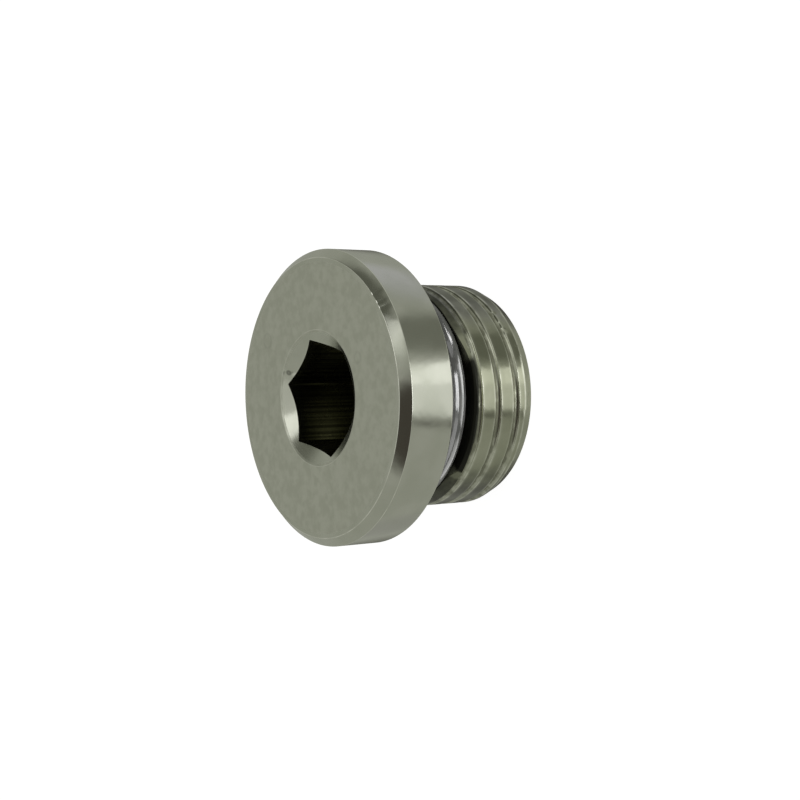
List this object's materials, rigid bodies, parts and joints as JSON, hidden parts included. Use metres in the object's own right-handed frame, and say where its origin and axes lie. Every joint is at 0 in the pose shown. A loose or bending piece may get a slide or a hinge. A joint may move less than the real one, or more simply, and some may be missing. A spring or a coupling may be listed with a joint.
{
  "type": "hex socket plug",
  "caption": "Round-headed hexagon socket screw plug with a short parallel pipe thread and a black O-ring in the neck under its head.",
  "frame": {"origin": "centre of the thread's end face, which is the centre of the bottom of the bounding box", "axes": "+Z along the plug's axis, from the thread's end to the head, out of the hexagon socket; a corner of the hexagon lies on +X"},
  "size_m": [0.017, 0.017, 0.0107],
  "materials": {
    "nickel_plate": "bright nickel plate over turned brass",
    "black_rubber": "smooth moulded rubber, slightly oily"
  },
  "bodies": {
    "root": {"plug_body": "nickel_plate", "seal_ring": "black_rubber"}
  },
  "joints": []
}
